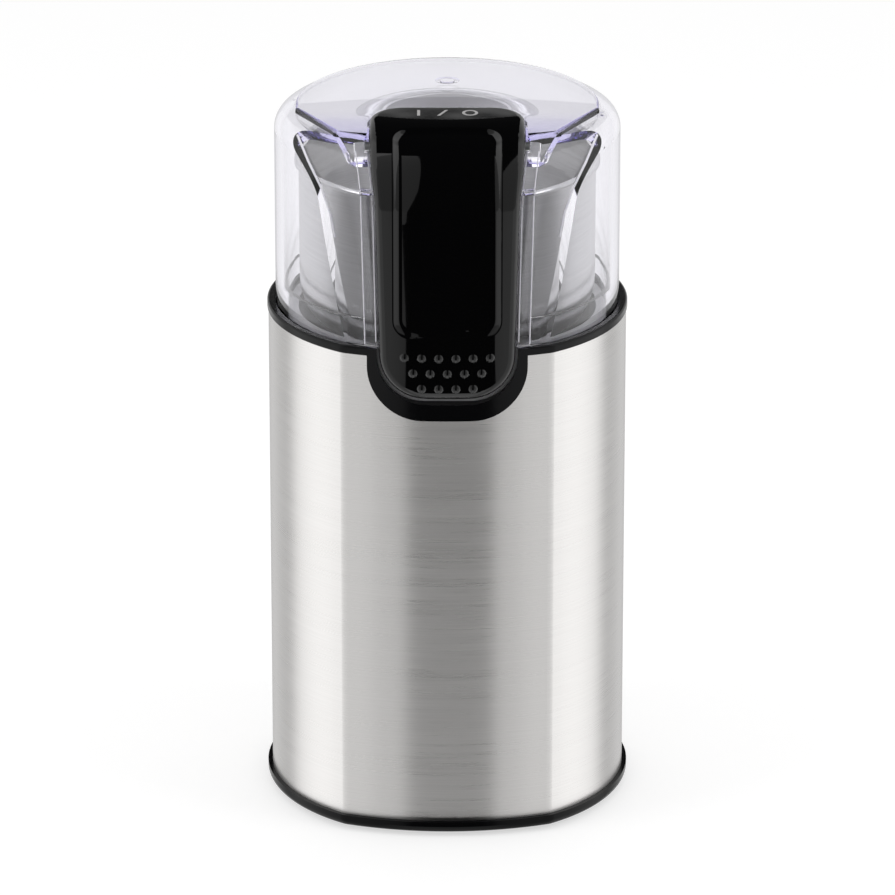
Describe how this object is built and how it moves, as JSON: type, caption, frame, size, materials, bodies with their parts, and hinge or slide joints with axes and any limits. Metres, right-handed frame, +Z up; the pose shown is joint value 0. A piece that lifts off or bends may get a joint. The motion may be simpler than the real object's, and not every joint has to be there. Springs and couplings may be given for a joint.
{
  "type": "electric coffee grinder",
  "caption": "Upright blade coffee grinder: steel body, black rim and base, clear lid with a long press paddle over a steel bowl, and a motor inside.",
  "frame": {"origin": "middle of the round body on the surface that its rubber feet stand on", "axes": "+Z up along the motor shaft; -Y is the front, where the press paddle is; +X is to the right of someone who faces the front"},
  "size_m": [0.0954, 0.0938, 0.19],
  "materials": {
    "body_steel": "fine brushing round the body",
    "bowl_steel": "bright, spun",
    "blade_steel": "ground",
    "shaft_steel": "ground",
    "zinc_steel": "zinc plated",
    "spring_steel": "drawn wire",
    "core_steel": "stacked sheet steel",
    "copper": "enamelled copper",
    "brass": "turned",
    "bronze": "sintered",
    "carbon": "pressed carbon",
    "black_gloss": "glossy black moulding",
    "black_moulding": "satin black moulding",
    "fan_plastic": "moulded",
    "switch_plastic": "moulded",
    "white_nylon": "moulded nylon",
    "clear_plastic": "clear, polished, with a faint violet tint",
    "black_rubber": "moulded rubber"
  },
  "bodies": {
    "root": {"steel_sleeve": "body_steel", "housing": "black_gloss", "base_cover": "black_gloss", "rubber_feet": "black_rubber", "cord_inlet": "black_rubber", "base_screws": "zinc_steel", "grinding_bowl": "bowl_steel", "bowl_gasket": "black_rubber", "clamp_bush": "brass", "clamp_nut": "zinc_steel", "shaft_seal": "black_rubber", "plunger_spring": "spring_steel", "micro_switch": "switch_plastic", "switch_terminals": "brass", "switch_screws": "zinc_steel", "stator_core": "core_steel", "field_coils": "copper", "upper_bracket": "zinc_steel", "lower_bracket": "zinc_steel", "upper_bush": "bronze", "lower_bush": "bronze", "motor_bolts": "zinc_steel", "motor_dampers": "black_rubber", "mount_screws": "zinc_steel", "carbon_brushes": "carbon", "brush_holders": "brass", "brush_springs": "spring_steel"},
    "lid": {"lid": "clear_plastic", "paddle_pin": "zinc_steel"},
    "paddle": {"paddle": "black_gloss"},
    "plunger": {"switch_plunger": "white_nylon", "switch_button": "white_nylon"},
    "rotor": {"motor_shaft": "shaft_steel", "armature_core": "core_steel", "armature_windings": "copper", "commutator": "copper", "cooling_fan": "fan_plastic", "thrust_washers": "white_nylon", "blade_hub": "black_moulding", "blade": "blade_steel", "blade_cap": "black_moulding"}
  },
  "joints": [
    {"name": "lid_lift", "type": "slide", "parent": "root", "child": "lid", "axis": [0, 0, 1], "range_m": [0, 0.065]},
    {"name": "paddle_press", "type": "hinge", "parent": "lid", "child": "paddle", "pos_m": [0, -0.03, 0.1845], "axis": [1, 0, 0], "range_deg": [0, 1.79], "stiffness_Nm_per_rad": 1.1, "springref_deg": -1.15},
    {"name": "plunger_travel", "type": "slide", "parent": "root", "child": "plunger", "axis": [0, 1, 0], "range_m": [0, 0.0019], "deforming": ["plunger_spring"]},
    {"name": "rotor_spin", "type": "hinge", "parent": "root", "child": "rotor", "pos_m": [0, 0, 0.07], "axis": [0, 0, 1], "continuous": true}
  ],
  "couplings": [
    {"joint": "plunger_travel", "follows": "paddle_press", "m_per_rad": 0.0605}
  ]
}
